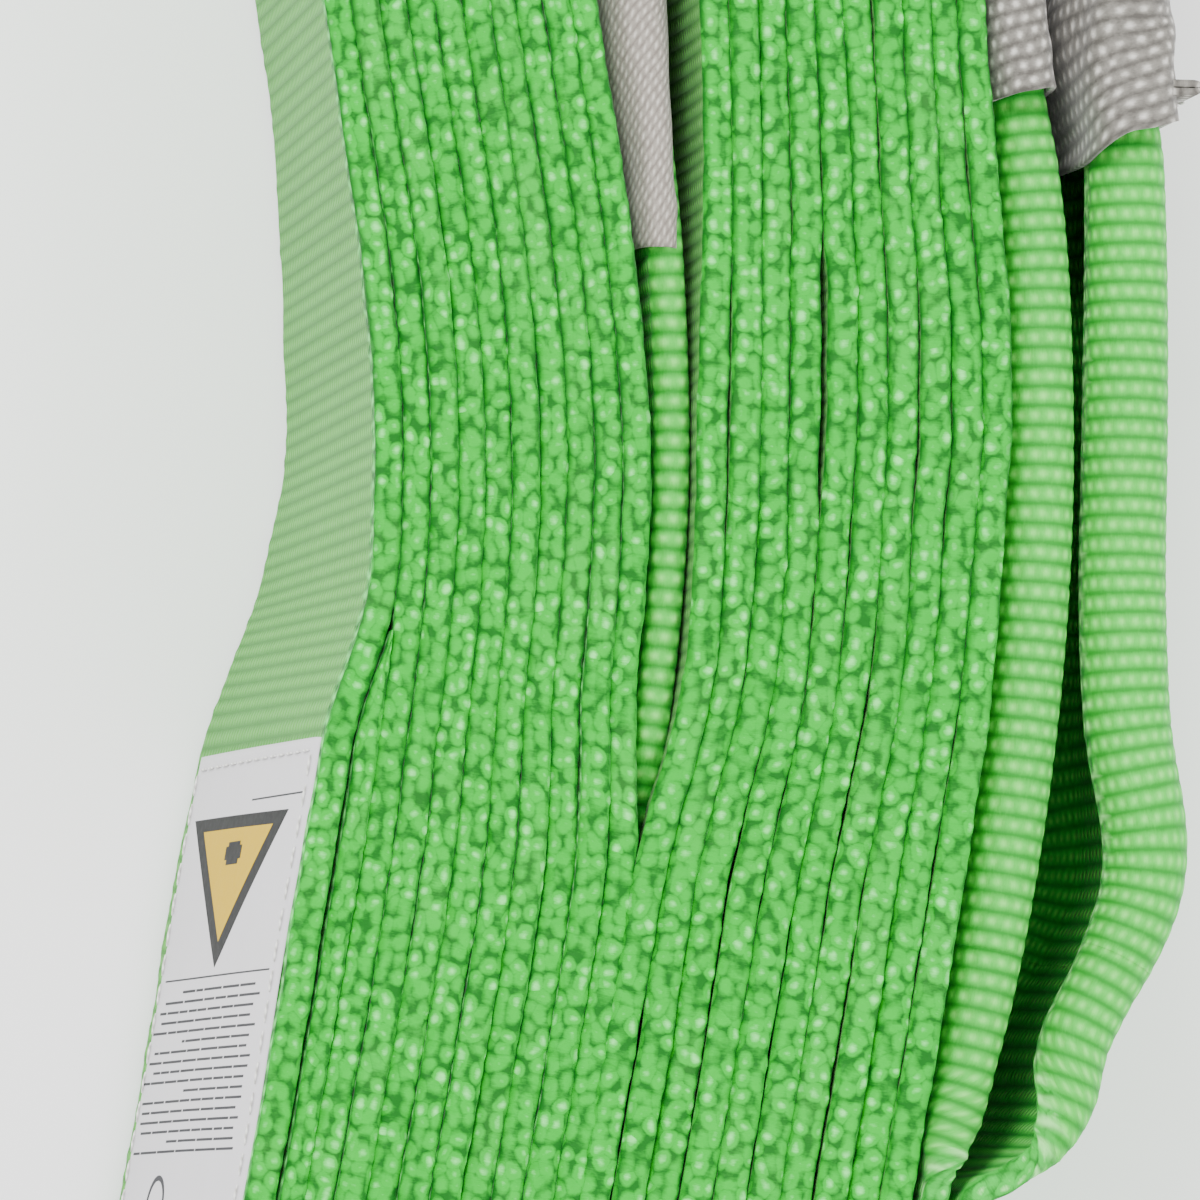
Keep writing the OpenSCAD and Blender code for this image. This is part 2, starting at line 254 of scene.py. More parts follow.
# ---------------------------------------------------------------------------
# Meshes
# ---------------------------------------------------------------------------
def row_frame(P):
    """Points in the plan's millimetres, brought into the frame's metres."""
    out = np.array(P, float)
    out[..., 0] -= MIDDLE[0]
    out[..., 1] -= MIDDLE[1]
    return out * MM


def mesh_object(name, P, groups, material, uv=None, values=None):
    """An object from points in the plan's millimetres. Each of groups is an array of faces
    with as many corners as each other, and whether they are smooth; uv has a row for each
    corner, and each of values a number for each point."""
    mesh = bpy.data.meshes.new(name)
    co = row_frame(P).reshape(-1, 3)
    mesh.vertices.add(len(co))
    mesh.vertices.foreach_set("co", co.astype(np.float32).ravel())
    corners = np.concatenate([np.ravel(faces) for faces, _ in groups]).astype(np.int32)
    mesh.loops.add(len(corners))
    mesh.loops.foreach_set("vertex_index", corners)
    sizes = np.concatenate([np.full(len(faces), np.shape(faces)[1]) for faces, _ in groups])
    mesh.polygons.add(len(sizes))
    mesh.polygons.foreach_set("loop_start", (np.cumsum(sizes) - sizes).astype(np.int32))
    mesh.polygons.foreach_set("use_smooth", np.concatenate([
        np.full(len(faces), smooth) for faces, smooth in groups]))
    mesh.update(calc_edges=True)
    if uv is not None:
        mesh.uv_layers.new(name="weave").data.foreach_set("uv", uv.astype(np.float32).ravel())
    for label, numbers in (values or {}).items():
        mesh.attributes.new(label, "FLOAT", "POINT").data.foreach_set(
            "value", np.asarray(numbers, np.float32).ravel())
    mesh.validate()
    obj = bpy.data.objects.new(name, mesh)
    bpy.context.scene.collection.objects.link(obj)
    mesh.materials.append(material)
    return obj


def grid_quads(rows, around, wrap=False):
    """Quads between rings of points; wrap joins the last ring to the first."""
    i = np.arange(rows if wrap else rows - 1)[:, None] * around
    i2 = (i + around) % (rows * around)
    j = np.arange(around)[None, :]
    j2 = (j + 1) % around
    return np.stack([i + j, i + j2, i2 + j2, i2 + j], -1).reshape(-1, 4)


def grid_uv(s0, s1, v0, v1):
    """The UV of those quads' corners, in centimetres along the webbing and round it."""
    s0, s1, v0, v1 = np.broadcast_arrays(s0[:, None], s1[:, None], v0[None, :], v1[None, :])
    return np.stack([s0, v0, s0, v1, s1, v1, s1, v0], -1).reshape(-1, 2) * 0.1


def tube(name, P, s, V, total, material, relief=None, edge=None):
    """A mesh from rings of points, closed round and capped at both ends. V is the UV round
    the ring, and total its end."""
    n, m = P.shape[:2]
    ends = []
    ahead = P[1].mean(0) - P[0].mean(0)
    for at, way in ((0, ahead), (n - 1, -ahead)):
        tris = np.array(tessellate_polygon([[Vector(p) for p in P[at]]]))
        a, b, c = (P[at][tris[:, i]] for i in range(3))
        faces_in = np.cross(b - a, c - a).sum(0) @ way > 0
        ends.append((tris[:, ::-1] if faces_in else tris) + at * m)
    ends = np.concatenate(ends)
    uv = np.concatenate([grid_uv(s[:-1], s[1:], V, np.concatenate([V[1:], [total]])),
                         np.zeros((ends.size, 2))])
    values = {} if relief is None else {"relief": relief, "edge": edge}
    return mesh_object(name, P, [(grid_quads(n, m), True), (ends, False)], material, uv, values)


# ---------------------------------------------------------------------------
# Cross-sections swept along a line
# ---------------------------------------------------------------------------
def column(numbers, n):
    """numbers as a column: one for each of n rings."""
    return np.broadcast_to(np.asarray(numbers, float), n)[:, None]


def curve(u, heading):
    """Where a section's centre curve is at each u, from its heading at any u."""
    mid = heading(((u[1:] + u[:-1]) / 2)[None, :])
    zero = np.zeros((len(mid), 1))
    a = np.concatenate([zero, np.cumsum(np.sin(mid) * np.diff(u), 1)], 1)
    z = np.concatenate([zero, np.cumsum(np.cos(mid) * np.diff(u), 1)], 1)
    return a - ((a.max(1) + a.min(1)) / 2)[:, None], z


def rolled(roll, radius):
    """The heading of webbing whose two edges roll over to its inner side: roll is how much
    of each side is rolled, radius the roll's."""
    most = np.minimum(roll, math.pi * radius) / np.maximum(radius, 1e-6)

    def heading(v):
        low = np.clip((roll - v) / np.maximum(radius, 1e-6), 0, most)
        high = np.clip((v - (WOVEN - roll)) / np.maximum(radius, 1e-6), 0, most)
        return low - high
    return heading


CAP = 11             # points over each selvedge
CAP_UV = 4.0         # the UV's length over a selvedge
FACE_UV = 3.0        # the UV's length kept free between the two faces
END = 0.9            # where the rounded selvedge begins
EDGE_REACH = 3.0     # how far in the webbing takes up its edge's thickness
FLOAT = 1.25         # one warp float across the face


def weft_loops(s, across, half, seed):
    """Height of the weft loops over a selvedge: every pick turns back on the other
    half of the thickness from the one before."""
    k0 = np.floor(s / LOOP).astype(int)
    total = np.zeros_like(across)
    r = np.random.default_rng(seed)
    n = int(k0.max()) + 4
    size, slip, wide, tilt = (r.uniform(a, b, n) for a, b in (
        (0.55, 1.25), (-0.35, 0.35), (0.85, 1.3), (-0.25, 0.75)))
    for j in range(-2, 3):
        k = np.clip(k0 + j, 0, n - 1)
        from_c = across - (np.where(k % 2 == 0, 0.5, -0.5) * half + slip[k] * 0.5 * half)[:, None]
        at = (k + 0.5) * LOOP + slip[k] * 0.6
        da = from_c / (0.44 * half * wide[k])[:, None]
        ds = ((s - at)[:, None] - tilt[k][:, None] * from_c) / 0.80
        total = np.maximum(total, size[k][:, None] * np.exp(-da ** 2 - ds ** 2))
    return total


def ribs(s, u, pick, fine):
    """Height of the woven face: a rib for each pick, and where it is fine each a row of
    warp floats that are staggered from one row to the next."""
    row = np.floor(s / pick)
    out = (np.sin(math.pi * (s / pick - row)) ** 0.55)[:, None] * np.ones_like(u)
    if fine:
        floats = np.cos(math.pi * (u / FLOAT + 0.5 * (row % 2)[:, None])) ** 2
        out = out * (0.84 + 0.16 * floats)
    return out


def sweep(name, line, s, *, u_out, u_in, seed, material, thick=PLY, edge=PLY, z_mid=WEB / 2,
          roll=0.0, radius=1.0, lean=0.0, close=0.0, lift=0.0, fine=False, rib_h=0.06,
          pick=PICK):
    """A closed mesh of webbing along line. The section starts at the low selvedge, goes
    up the outer face, over the high selvedge and down the inner face."""
    thick, edge, z_mid, roll, radius, lean, close, lift = (
        column(v, len(line)) for v in (thick, edge, z_mid, roll, radius, lean, close, lift))
    u_all = np.unique(np.round(np.concatenate([u_out, u_in, [END, WOVEN - END]]), 4))
    u_all = u_all[(u_all >= END - 1e-6) & (u_all <= WOVEN - END + 1e-6)]
    heading = rolled(roll, radius)
    th = heading(u_all[None, :])
    a, z = curve(u_all, heading)
    z = z - ((z.max(1) + z.min(1)) / 2)[:, None]
    share = (u_all - END) / (WOVEN - 2 * END)
    a = a + lean * (1 - share) + close * top_share(share)
    z = z + z_mid + lift * share

    def half_at(u):
        return (thick + (edge - thick) * np.exp(-np.minimum(u, WOVEN - u) / EDGE_REACH)) / 2

    def face(index, sign):
        """The points of one face, their relief, and 0 for not being on a selvedge."""
        u = np.broadcast_to(u_all[index], (len(s), len(index)))
        rib = ribs(s, u, pick, fine)
        fade = ease(1.0, 3.0, np.minimum(u, WOVEN - u))
        h = half_at(u) + rib_h * (rib - 0.5) * fade
        return (a[:, index] + np.cos(th[:, index]) * sign * h,
                z[:, index] - np.sin(th[:, index]) * sign * h,
                0.28 + 0.5 * rib * fade, np.zeros(len(index)))

    def selvedge(index, start, sd):
        """The rounded selvedge at the end index, from one face to the other."""
        phi = np.linspace(start, start + math.pi, CAP + 2)[1:-1]
        h = half_at(np.array([[u_all[index]]]))
        t = th[:, [index]]
        ca, sa = np.cos(phi)[None, :], np.sin(phi)[None, :]
        bump = weft_loops(s, h * ca, h[:, 0], sd)
        r_a = h * ca * (1 + 0.10 * bump)
        r_z = (END * sa + np.sign(sa) * 0.5 * bump * np.abs(sa) ** 0.6
               - np.sign(sa) * 0.18 * np.exp(-(ca / 0.16) ** 2) * (1 - bump))
        return (a[:, [index]] + np.cos(t) * r_a + np.sin(t) * r_z,
                z[:, [index]] - np.sin(t) * r_a + np.cos(t) * r_z,
                0.22 + 0.78 * bump, np.ones(CAP))

    def nearest(us):
        inside = us[(us >= END) & (us <= WOVEN - END)]
        return np.unique([np.argmin(np.abs(u_all - v)) for v in inside]
                         + [0, len(u_all) - 1])

    i_out, i_in = nearest(u_out), nearest(u_in)[::-1]
    chunks = [face(i_out, 1), selvedge(len(u_all) - 1, 0, seed), face(i_in, -1),
              selvedge(0, math.pi, seed + 500)]
    A, Z, R = (np.concatenate([c[i] for c in chunks], 1) for i in range(3))
    on_edge = np.broadcast_to(np.concatenate([c[3] for c in chunks]), A.shape)
    cap_v = np.linspace(0, CAP_UV, CAP + 2)[1:-1]
    V = np.concatenate([u_all[i_out], u_all[-1] + cap_v,
                        2 * WOVEN + FACE_UV - u_all[i_in], 2 * WOVEN + FACE_UV + cap_v])
    return tube(name, rings_along(line, A, Z), s, V, 2 * WOVEN + FACE_UV + CAP_UV, material,
                R, on_edge)


def rings_along(line, A, Z, along=0.0):
    """Rings of points: A outwards from line, Z up, and along further on."""
    n, d = outward(line)[:, None, :], forward(line)[:, None, :]
    xy = line[:, None, :] + n * A[..., None] + d * (along + 0 * A)[..., None]
    return np.concatenate([xy, np.broadcast_to(Z[..., None], (*xy.shape[:2], 1))], -1)


# ---------------------------------------------------------------------------
# Materials
# ---------------------------------------------------------------------------
class Nodes:
    """A short way to write a node tree."""

    def __init__(self, name):
        self.mat = bpy.data.materials.new(name)
        self.mat.use_nodes = True
        self.tree = self.mat.node_tree
        self.bsdf = self.tree.nodes["Principled BSDF"]

    def put(self, socket, value):
        if isinstance(value, bpy.types.NodeSocket):
            self.tree.links.new(value, socket)
        else:
            socket.default_value = value

    def node(self, kind, inputs=(), **props):
        n = self.tree.nodes.new(kind)
        for key, value in props.items():
            setattr(n, key, value)
        for key, value in dict(inputs).items():
            self.put(n.inputs[key], value)
        return n

    def surface(self, **values):
        """Sets the shader's sockets, by their names with _ for each space."""
        for key, value in values.items():
            self.put(self.bsdf.inputs[key.replace("_", " ")], value)
        return self.mat

    def math(self, op, a, b=0.0, clamp=False):
        return self.node("ShaderNodeMath", {0: a, 1: b}, operation=op, use_clamp=clamp).outputs[0]

    def add(self, a, b, clamp=False):
        return self.math("ADD", a, b, clamp)

    def sub(self, a, b, clamp=False):
        return self.math("SUBTRACT", a, b, clamp)

    def mul(self, a, b):
        return self.math("MULTIPLY", a, b)

    def div(self, a, b):
        return self.math("DIVIDE", a, b)

    def power(self, a, b):
        return self.math("POWER", a, b)

    def stray(self, value, middle, height):
        """value's height over its middle."""
        return self.mul(self.sub(value, middle), height)

    def spread(self, value, low, high, to_low=0.0, to_high=1.0):
        return self.node("ShaderNodeMapRange", {0: value, 1: low, 2: high, 3: to_low, 4: to_high},
                         clamp=True).outputs[0]

    def vec(self, x, y):
        return self.node("ShaderNodeCombineXYZ", {0: x, 1: y}).outputs[0]

    def scaled(self, x, y, fx, fy):
        return self.vec(self.mul(x, fx), self.mul(y, fy))

    def mix(self, fac, a, b):
        return self.node("ShaderNodeMix", {0: fac, 6: a, 7: b}, data_type="RGBA").outputs[2]

    def blend(self, fac, a, b):
        return self.node("ShaderNodeMix", {0: fac, 2: a, 3: b}, data_type="FLOAT").outputs[0]

    def ramp(self, fac, stops):
        n = self.node("ShaderNodeValToRGB", {0: fac})
        e = n.color_ramp.elements
        while len(e) < len(stops):
            e.new(0.5)
        for item, (at, colour) in zip(e, stops):
            item.position = at
            item.color = (*colour, 1)
        return n.outputs[0]

    def noise(self, vector, scale, detail=2.0, rough=0.5):
        return self.node("ShaderNodeTexNoise", {"Vector": vector, "Scale": scale,
                         "Detail": detail, "Roughness": rough}).outputs[0]

    def bump(self, height, strength, distance, normal=None):
        n = self.node("ShaderNodeBump", {"Strength": strength, "Distance": distance,
                                         "Height": height})
        if normal is not None:
            self.put(n.inputs["Normal"], normal)
        return n.outputs[0]

    def place(self):
        return self.node("ShaderNodeTexCoord").outputs["Object"]

    def weave_uv(self):
        """Millimetres along the webbing and round it."""
        uv = self.node("ShaderNodeUVMap", uv_map="weave").outputs[0]
        both = self.node("ShaderNodeSeparateXYZ", {0: uv})
        return self.mul(both.outputs[0], 10.0), self.mul(both.outputs[1], 10.0)

    def weave(self, s, w, pick, float_w):
        """Rows of warp floats, staggered from row to row: across each float, along each row."""
        row = self.math("FLOOR", self.div(s, pick))
        within = self.math("FRACT", self.div(s, pick))
        stagger = self.mul(self.math("FLOORED_MODULO", row, 2.0), 0.5)
        turn_w = self.math("COSINE", self.mul(self.add(self.div(w, float_w), stagger), math.pi))
        return self.mul(turn_w, turn_w), self.math("SINE", self.mul(within, math.pi))


def srgb(r, g, b):
    def lin(v):
        v = v / 255
        return v / 12.92 if v <= 0.04045 else ((v + 0.055) / 1.055) ** 2.4
    return (lin(r), lin(g), lin(b))


def webbing_material(name, dark, mid, light, face_dark, face_mid, face_light, wear, pick,
                     dotty=1.0):
    """Woven polyester: loops over the selvedges, ribs of warp floats on the faces."""
    g = Nodes(name)
    s, w = g.weave_uv()
    relief = g.node("ShaderNodeAttribute", attribute_name="relief").outputs["Fac"]
    edge = g.node("ShaderNodeAttribute", attribute_name="edge").outputs["Fac"]
    flat = g.vec(s, w)
    mottle = g.noise(flat, 0.75, 3.0, 0.6)
    slow = g.noise(g.scaled(s, w, 0.02, 0.05), 1.0)
    over = g.noise(g.scaled(s, w, 6.0, 0.9), 1.0, 2.0, 0.7)
    along = g.noise(g.scaled(s, w, 0.9, 6.0), 1.0, 2.0, 0.7)
    strand = g.blend(edge, along, over)
    floats, rib = g.weave(s, w, pick, FLOAT)
    dots = g.mul(floats, g.power(rib, 2.0))

    # weft loops over the selvedges: round spots of uneven brightness, painted highlights on the
    # loops' tops
    shake = g.noise(flat, 0.35, 1.0)
    cell = g.node("ShaderNodeTexVoronoi", {
        "Vector": g.vec(g.add(g.div(s, 2.05), shake), g.div(w, 1.30)),
        "Scale": 1.0, "Randomness": 0.70}, voronoi_dimensions="2D", feature="F1")
    luck = g.node("ShaderNodeSeparateColor", {0: cell.outputs["Color"]}).outputs[0]
    spot = g.sub(1.0, g.div(cell.outputs["Distance"], 0.62), clamp=True)
    spot = g.mul(g.power(spot, 0.75), g.add(0.45, g.mul(luck, 0.75)))
    # the loops' colour: relief and spots paint highlight on the raised loops and shade between
    # them; mottle and strands add real tone
    loop_shade_and_tone = g.add(g.mul(relief, 0.30), g.mul(spot, 0.66))
    loop_shade_and_tone = g.add(loop_shade_and_tone, g.stray(mottle, 0.5, 0.55))
    loop_shade_and_tone = g.add(loop_shade_and_tone, g.stray(strand, 0.5, 0.25), clamp=True)
    loop_colour = g.ramp(loop_shade_and_tone, [(0.10, dark), (0.40, mid), (0.58, mid), (0.92, light)])
    # painted shade: soft broken dark lines in the gaps where two plies meet, fainter towards the
    # low end
    gap_shade_band = g.spread(g.math("ABSOLUTE", g.sub(w, WEB - 0.1)), 0.70, 1.45)
    y = g.node("ShaderNodeSeparateXYZ", {0: g.place()}).outputs[1]
    here = g.spread(y, -0.045, 0.005, 0.30, 0.95)
    broken = g.spread(g.noise(g.scaled(s, w, 0.30, 0.25), 1.0), 0.36, 0.56)
    line = g.mul(g.mul(gap_shade_band, here), broken)
    loop_colour = g.mix(line, loop_colour, (*dark, 1))

    face = g.add(g.mul(rib, 0.62 - 0.22 * dotty), g.mul(dots, 0.16 + 0.16 * dotty))
    face = g.add(face, g.stray(mottle, 0.5, 0.35))
    face = g.add(face, g.stray(strand, 0.5, 0.25), clamp=True)
    face_colour = g.ramp(face, [(0.05, face_dark), (0.45, face_mid), (0.95, face_light)])
    # the loops reach a little way over the outer face beside its upper selvedge
    finger = g.mul(g.noise(g.vec(g.mul(s, 0.75), 3.0), 1.0), 5.0)
    reach = g.mul(g.spread(g.add(w, finger), 58.2, 59.6), g.math("GREATER_THAN", WEB + 1.5, w))
    glint = g.math("ABSOLUTE", g.math("COSINE", g.mul(
        g.div(g.add(s, g.mul(shake, 2.0)), 2 * LOOP), math.pi)))
    glint = g.mul(g.power(glint, 4.0), 0.8)
    colour = g.mix(edge, g.mix(reach, face_colour, g.mix(glint, loop_colour, (*light, 1))),
                   loop_colour)
    # a little dust and rubbed spots, and slow changes of shade
    worn = g.ramp(g.noise(flat, 0.06, 4.0, 0.65), [(0.52, (0, 0, 0)), (0.78, (1, 1, 1))])
    colour = g.mix(g.mul(worn, 0.08), colour, (*wear, 1))
    shade = g.add(0.90, g.mul(slow, 0.20))
    grey = g.node("ShaderNodeCombineColor", {0: shade, 1: shade, 2: shade}).outputs[0]
    tinted = g.node("ShaderNodeMix", {0: 1.0, 6: colour, 7: grey}, data_type="RGBA",
                    blend_type="MULTIPLY").outputs[2]
    low = g.blend(edge, g.add(g.mul(rib, 0.5), dots), spot)
    return g.surface(
        Base_Color=tinted, Roughness=g.add(0.50, g.mul(strand, 0.25)), Specular_IOR_Level=0.14,
        Sheen_Weight=0.05, Sheen_Roughness=0.4,
        Normal=g.bump(strand, 0.45, 0.00016, g.bump(low, 0.60, 0.00040)))


def sleeve_material(name, dark, mid, light, pitch, slant):
    """A plain woven tube: rows of light floats on a darker ground."""
    g = Nodes(name)
    s, w = g.weave_uv()
    flat = g.vec(s, w)
    bent = g.add(g.add(s, g.stray(g.noise(flat, 0.25), 0.5, 0.8)), g.mul(w, slant))
    floats, rib = g.weave(bent, w, pitch, pitch)
    dots = g.mul(g.power(floats, 1.6), g.power(rib, 2.2))
    mottle = g.noise(flat, 0.9, 3.0, 0.6)
    fibre = g.noise(g.scaled(s, w, 7.0, 2.0), 1.0, 2.0, 0.7)
    value = g.add(g.mul(dots, 0.50), g.mul(rib, 0.22))
    value = g.add(value, g.stray(mottle, 0.4, 0.7))
    value = g.add(value, g.stray(fibre, 0.5, 0.3), clamp=True)
    colour = g.ramp(value, [(0.04, dark), (0.42, mid), (0.9, light)])
    soil = g.noise(flat, 0.05, 4.0, 0.65)
    height = g.add(dots, g.mul(rib, 0.3))
    return g.surface(
        Base_Color=g.mix(g.mul(soil, 0.15), colour, (*dark, 1)),
        Roughness=g.add(0.66, g.mul(fibre, 0.25)), Specular_IOR_Level=0.35, Sheen_Weight=0.2,
        Sheen_Roughness=0.5, Normal=g.bump(fibre, 0.35, 0.00015, g.bump(height, 0.4, 0.0003)))


def tape_material(name, colour, soil):
    """Smooth coated tape with a very fine weave under its print."""
    g = Nodes(name)
    uv = g.node("ShaderNodeUVMap", uv_map="weave").outputs[0]
    grain = g.noise(uv, 60.0, 2.0, 0.6)
    smudge = g.noise(uv, 0.8, 4.0, 0.6)
    return g.surface(
        Base_Color=g.mix(g.mul(smudge, 0.22), (*colour, 1), (*soil, 1)),
        Roughness=g.add(0.38, g.mul(grain, 0.25)), Sheen_Weight=0.08,
        Normal=g.bump(grain, 0.25, 0.00008))


def print_material(name, colour, worn):
    """Ink on the tape, thinner here and there."""
    g = Nodes(name)
    thin = g.noise(g.place(), 900.0, 3.0, 0.6)
    return g.surface(
        Base_Color=g.mix(g.mul(thin, 0.35), (*colour, 1), (*worn, 1)),
        Roughness=g.add(0.5, g.mul(thin, 0.2)), Specular_IOR_Level=0.15,
        Normal=g.bump(thin, 0.15, 0.00005))


def thread_material(name, light, dark):
    """Twisted sewing thread."""
    g = Nodes(name)
    place = g.place()
    ply = g.node("ShaderNodeTexWave", {"Vector": place, "Scale": 420.0, "Distortion": 1.5,
                 "Detail": 1.0}, wave_type="BANDS", bands_direction="DIAGONAL").outputs["Fac"]
    fuzz = g.noise(place, 2500.0)
    tone = g.add(g.mul(ply, 0.7), g.mul(fuzz, 0.3))
    return g.surface(
        Base_Color=g.mix(tone, (*dark, 1), (*light, 1)), Roughness=g.add(0.45, g.mul(fuzz, 0.2)),
        Sheen_Weight=0.2, Normal=g.bump(tone, 0.6, 0.0001))


def floor_material(name):
    g = Nodes(name)
    return g.surface(
        Base_Color=g.mix(g.noise(g.place(), 30.0), (0.93, 0.93, 0.93, 1), (0.95, 0.95, 0.95, 1)),
        Roughness=0.9)


RUBBED = srgb(112, 160, 92)
GREEN = webbing_material(
    "woven_green", srgb(0, 88, 12), srgb(0, 161, 30), srgb(104, 218, 107),
    srgb(54, 125, 41), srgb(78, 154, 60), srgb(106, 180, 82), RUBBED, PICK)
EYE_GREEN = webbing_material(
    "woven_eye_green", srgb(12, 112, 24), srgb(44, 170, 53), srgb(146, 226, 128),
    srgb(18, 126, 28), srgb(58, 174, 55), srgb(122, 216, 98), RUBBED, EYE_PICK, 0.8)
SLEEVE = sleeve_material("woven_grey", srgb(70, 67, 62), srgb(120, 117, 110),
                         srgb(194, 191, 184), 1.9, 0.12)
FINE_SLEEVE = sleeve_material("woven_grey_fine", srgb(106, 99, 92), srgb(144, 138, 129),
                              srgb(184, 179, 170), 1.30, 0.75)
TAPE = tape_material("label_tape", srgb(196, 194, 198), srgb(158, 154, 150))
INK = print_material("label_ink", srgb(36, 37, 40), srgb(74, 74, 78))
INK_DARK = print_material("label_ink_dark", srgb(14, 15, 16), srgb(34, 34, 34))
YELLOW = print_material("label_yellow", srgb(186, 152, 0), srgb(192, 160, 4))
GREEN_THREAD = thread_material("thread_green", srgb(120, 205, 120), srgb(52, 130, 60))
WHITE_THREAD = thread_material("thread_white", srgb(232, 232, 228), srgb(160, 158, 152))


def belongs(obj, body, node=None):
    """Gives a piece its body, and hides the CAD node that it replaces."""
    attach(obj, body)
    if node is not None:
        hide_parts(node)


# ---------------------------------------------------------------------------
# The rolled webbing: each ply is one long strip, made in lengths that meet end
# to end with the weave running through
# ---------------------------------------------------------------------------
# where a section has its points, across the webbing: on hidden faces, and on the ones seen
COARSE = np.array([3.0, 16.0, 30.0, 38.0, 44.0, 50.0, 57.0])
FINE = np.concatenate([[1.6, 2.4, 3.4], np.arange(5, 56, 1.7), [56.6, 57.6, 58.4]])
BEND = 13.0          # half the length of the bend at the tail's hinge, along the roll


def ply_piece(name, ply, i0, i1, u_out=COARSE):
    cut = slice(i0, i1 + 1)
    s, seed = ply["s"][cut], ply["seed"]
    lift = 0.30 * wander(ply["s"], 95, seed + 7)[cut] + 0.22 * np.sin(ply["no"][cut] * 2.4 + seed)
    edge = 2 * ply["half_pitch"][cut] + 0.22 + 0.20 * ease(0, -36, ply["line"][cut][:, 1])
    obj = sweep(name, ply["line"][cut], s, edge=edge, lean=ply["lean"][cut],
                close=ply["close"][cut], lift=lift, u_out=u_out, u_in=COARSE, seed=seed,
                material=GREEN)
    return obj


def first(test):
    """The first ring where test is true."""
    return int(np.argmax(test))


outer, inner = ply_line(1, 11), ply_line(-1, 12)
for ply, tag in ((outer, "outer"), (inner, "inner")):
    no, (x, y) = ply["no"], ply["line"].T
    # cuts at three low turns, then high on the last lap, and round the tail's bend
    last_left = np.abs(no - LAST_LEFT) < 0.05
    cuts = [0, first(no >= 2.49), first(no >= 3.49), first(no >= 4.49),
            first(last_left & (y < 100)), first(last_left & (y < LOW + 20))]
    bend_end = first((no > LAST_LEFT + 0.1) & (y < LOW) & (x > -8))
    tail_end = len(no) - 1 - int(20 / STEP)
    for letter, i0, i1 in zip("abcde", cuts, cuts[1:]):
        on_show = tag == "outer" and letter in "de"
        piece = ply_piece(f"{tag}_ply_{letter}", ply, i0, i1, FINE if on_show else COARSE)
        belongs(piece, "bundle", f"{tag}_ply" if letter == "a" else None)
    u_out = FINE if tag == "outer" else COARSE
    piece = ply_piece(f"{tag}_ply_bend", ply, cuts[-1], bend_end, u_out)
    row = row_frame([[x[cuts[-1]], LOW + BEND, WEB / 2], [x[cuts[-1]], LOW - BEND, WEB / 2]])
    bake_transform(piece)
    piece = ply_piece(f"tail_{tag}_webbing", ply, bend_end, tail_end, u_out)
    belongs(piece, "tail", f"tail_{tag}_ply")
    ply["tail_end"] = tail_end

# The end of the webbing that is spliced in under the last lap's outer ply.
spliced = lap(left_x, LAPS, -4, -97)
y = spliced[:, 1]
thin = np.clip(bulge(y) - 0.55, 0.35, PLY)
line = bowed(spliced + outward(spliced) * (GAP / 2 + thin / 2)[:, None])
line, (lean, thin, close), s = resampled(line, [0.45 * low_lean(y), thin, -0.7 * ease(-6, -36, y)])
splice = sweep("splice_end_webbing", line, s, lean=lean, close=close, u_out=COARSE, u_in=COARSE,
               seed=31, material=GREEN, thick=thin, edge=thin + 0.3 * thin / PLY)
belongs(splice, "bundle", "splice_end")

# ---------------------------------------------------------------------------
# The inner eye: its two legs lie one over the other in the middle of the roll,
# each folded along its length, in a sleeve at the high end
# ---------------------------------------------------------------------------
U_FOLD = np.concatenate([[END, 2, 8, 14, 20], np.arange(23, 37.1, 0.5), [40, 46, 52, 58, 59.1]])
y = np.linspace(ROOT_IN + 1.5, 138, 480)
strip, (strip_y,), strip_s = resampled(bowed(np.stack([0.70 + 0.05 * np.sin(y / 9), y], 1)), [y])
leg_thick = (2.05 - 0.35 * ease(0, -45, strip_y))[:, None]


def inner_leg(name, facing, ridge):
    """Webbing folded once, along its middle. The fold is the ridge that shows, up on the
    upper leg, where facing is 1, and down on the lower one."""
    n = len(strip_s)
    radius = (leg_thick + 0.15 + 0.3 * ease(45, 95, strip_y)[:, None]) / 2

    def heading(u):
        return np.clip((u - WEB / 2 + math.pi * radius / 2) / radius, 0, math.pi)

    a, z = curve(U_FOLD, heading)
    th = heading(U_FOLD[None, :])
    rib = ribs(strip_s, np.broadcast_to(U_FOLD, (n, len(U_FOLD))), EYE_PICK, True)
    rise = leg_thick / 2 + 0.10 * (rib - 0.5)
    inside = np.unique(np.r_[0:len(U_FOLD):3, len(U_FOLD) - 1])[::-1]
    # the outside of the fold from one selvedge to the other, then back inside
    A = np.concatenate([a - np.cos(th) * rise, (a + np.cos(th) * leg_thick / 2)[:, inside]], 1)
    Z = np.concatenate([z + np.sin(th) * rise, (z - np.sin(th) * leg_thick / 2)[:, inside]], 1)
    Z = ridge + facing * (Z - z.max(1)[:, None])
    R = np.concatenate([0.28 + 0.5 * rib, np.full((n, len(inside)), 0.3)], 1)
    V = np.concatenate([U_FOLD, WEB + FACE_UV + (WEB - U_FOLD[inside])])
    leg = tube(name, rings_along(strip, facing * A, Z), strip_s, V, 2 * WEB + 6.0, EYE_GREEN,
               R, 0 * R)
    return leg


upper_ridge = 57.7 - 4.5 * ease(40, 75, strip_y) - 14 * ease(-14, -44, strip_y)
upper_leg = inner_leg("inner_eye_leg_upper", 1, upper_ridge[:, None] - leg_thick / 2)
belongs(upper_leg, "bundle", "inner_eye_webbing")
belongs(inner_leg("inner_eye_leg_lower", -1, 0.5 + leg_thick / 2), "bundle")

HEM_REACH, HEM_RIDGE = 14.0, 5.0     # how far a skewed hem pulls, and where it is turned under


